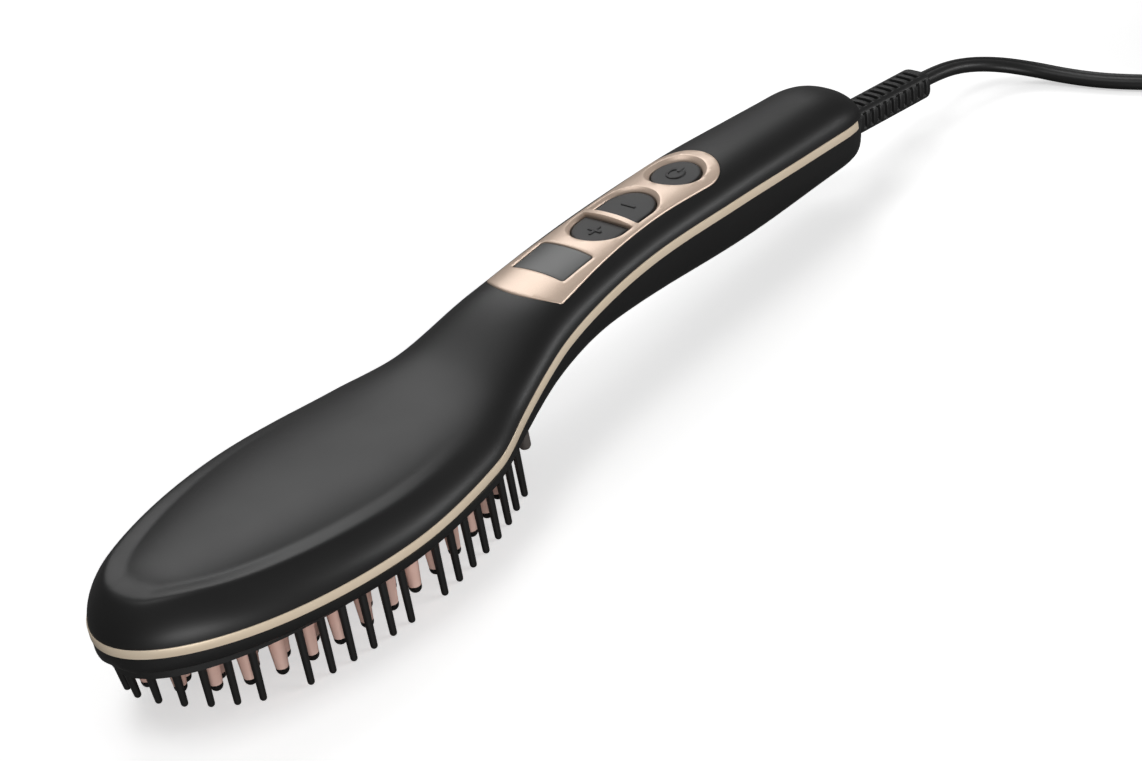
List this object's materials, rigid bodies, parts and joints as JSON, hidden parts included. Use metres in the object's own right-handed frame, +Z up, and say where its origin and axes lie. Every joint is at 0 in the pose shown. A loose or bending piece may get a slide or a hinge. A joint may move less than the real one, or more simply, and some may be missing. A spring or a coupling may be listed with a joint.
{
  "type": "heated straightening brush",
  "caption": "Oval-headed electric hair straightening brush with heated pins, cool outer bristles, handle keys with display, swivel cord exit and mains plug.",
  "frame": {"origin": "on the floor under the middle of the brush's length from the nose to the swivel collar, without the cord, its boot and its plug", "axes": "+X from the nose of the head to the cord end of the handle, +Y across the brush, +Z up away from the bristles"},
  "size_m": [0.4928, 0.1502, 0.043],
  "materials": {
    "shell": "soft-touch matt charcoal",
    "rose_trim": "satin rose gold lacquer",
    "panel": "satin rose gold lacquer",
    "lens": "smoked grey, glossy",
    "key_rubber": "satin silicone rubber",
    "bristle": "nylon, plain",
    "comb": "plain",
    "pin_metal": "copper-tinted ceramic coat",
    "pin_cap": "glossy heat-resistant plastic",
    "ceramic": "ceramic",
    "mica": "mica sheet",
    "steel": "zinc plated",
    "inner_plastic": "plain, heat resistant",
    "stem": "plain",
    "board": "green solder mask",
    "display": "dark digit block",
    "component": "moulded",
    "can": "plain",
    "nozzle": "satin grey-brown",
    "wire": "silicone insulation",
    "brass": "plain",
    "swivel": "satin",
    "cord": "black PVC",
    "plug_metal": "nickel plated"
  },
  "bodies": {
    "brush": {"top_cover": "shell", "lower_housing": "shell", "trim_band": "rose_trim", "control_panel": "panel", "display_window": "lens", "outer_bristles": "bristle", "comb_ring": "comb", "heated_pins": "pin_metal", "heat_plate": "pin_metal", "pin_caps": "pin_cap", "heater_elements": "ceramic", "thermal_fuse": "ceramic", "line_fuse": "ceramic", "insulation_sheet": "mica", "heater_clamp": "steel", "clamp_screws": "steel", "board_screws": "steel", "housing_screws": "steel", "ion_needles": "steel", "contact_springs": "steel", "heat_shield": "inner_plastic", "swivel_bearing": "inner_plastic", "contact_block": "inner_plastic", "ion_module": "inner_plastic", "switch_housings": "inner_plastic", "heater_connector": "inner_plastic", "mains_terminal": "inner_plastic", "temperature_sensor": "inner_plastic", "control_board": "board", "display_module": "display", "film_capacitor": "component", "triac": "component", "transformer": "component", "filter_capacitor": "can", "heat_sink": "can", "ion_nozzles": "nozzle", "heater_leads": "wire", "supply_leads": "wire", "ion_leads": "wire", "mains_cord": "cord", "cord_coil": "cord", "cord_tie": "cord", "plug_body": "cord", "plug_relief": "cord", "plug_sleeves": "cord", "plug_pins": "plug_metal"},
    "power_key": {"power_button": "key_rubber", "power_stem": "stem"},
    "plus_key": {"plus_button": "key_rubber", "plus_stem": "stem"},
    "minus_key": {"minus_button": "key_rubber", "minus_stem": "stem"},
    "cord_swivel": {"swivel_collar": "swivel", "retaining_ring": "steel", "contact_rings": "brass", "cord_boot": "cord"}
  },
  "joints": [
    {"name": "power_press", "type": "slide", "parent": "brush", "child": "power_key", "axis": [0, 0, -1], "range_m": [0, 0.0006], "stiffness_N_per_m": 800},
    {"name": "plus_press", "type": "slide", "parent": "brush", "child": "plus_key", "axis": [0, 0, -1], "range_m": [0, 0.0006], "stiffness_N_per_m": 800},
    {"name": "minus_press", "type": "slide", "parent": "brush", "child": "minus_key", "axis": [0, 0, -1], "range_m": [0, 0.0006], "stiffness_N_per_m": 800},
    {"name": "cord_swivel_turn", "type": "hinge", "parent": "brush", "child": "cord_swivel", "pos_m": [0.14347, 0, 0.0194], "axis": [0.9903, 0, -0.1392], "continuous": true}
  ]
}
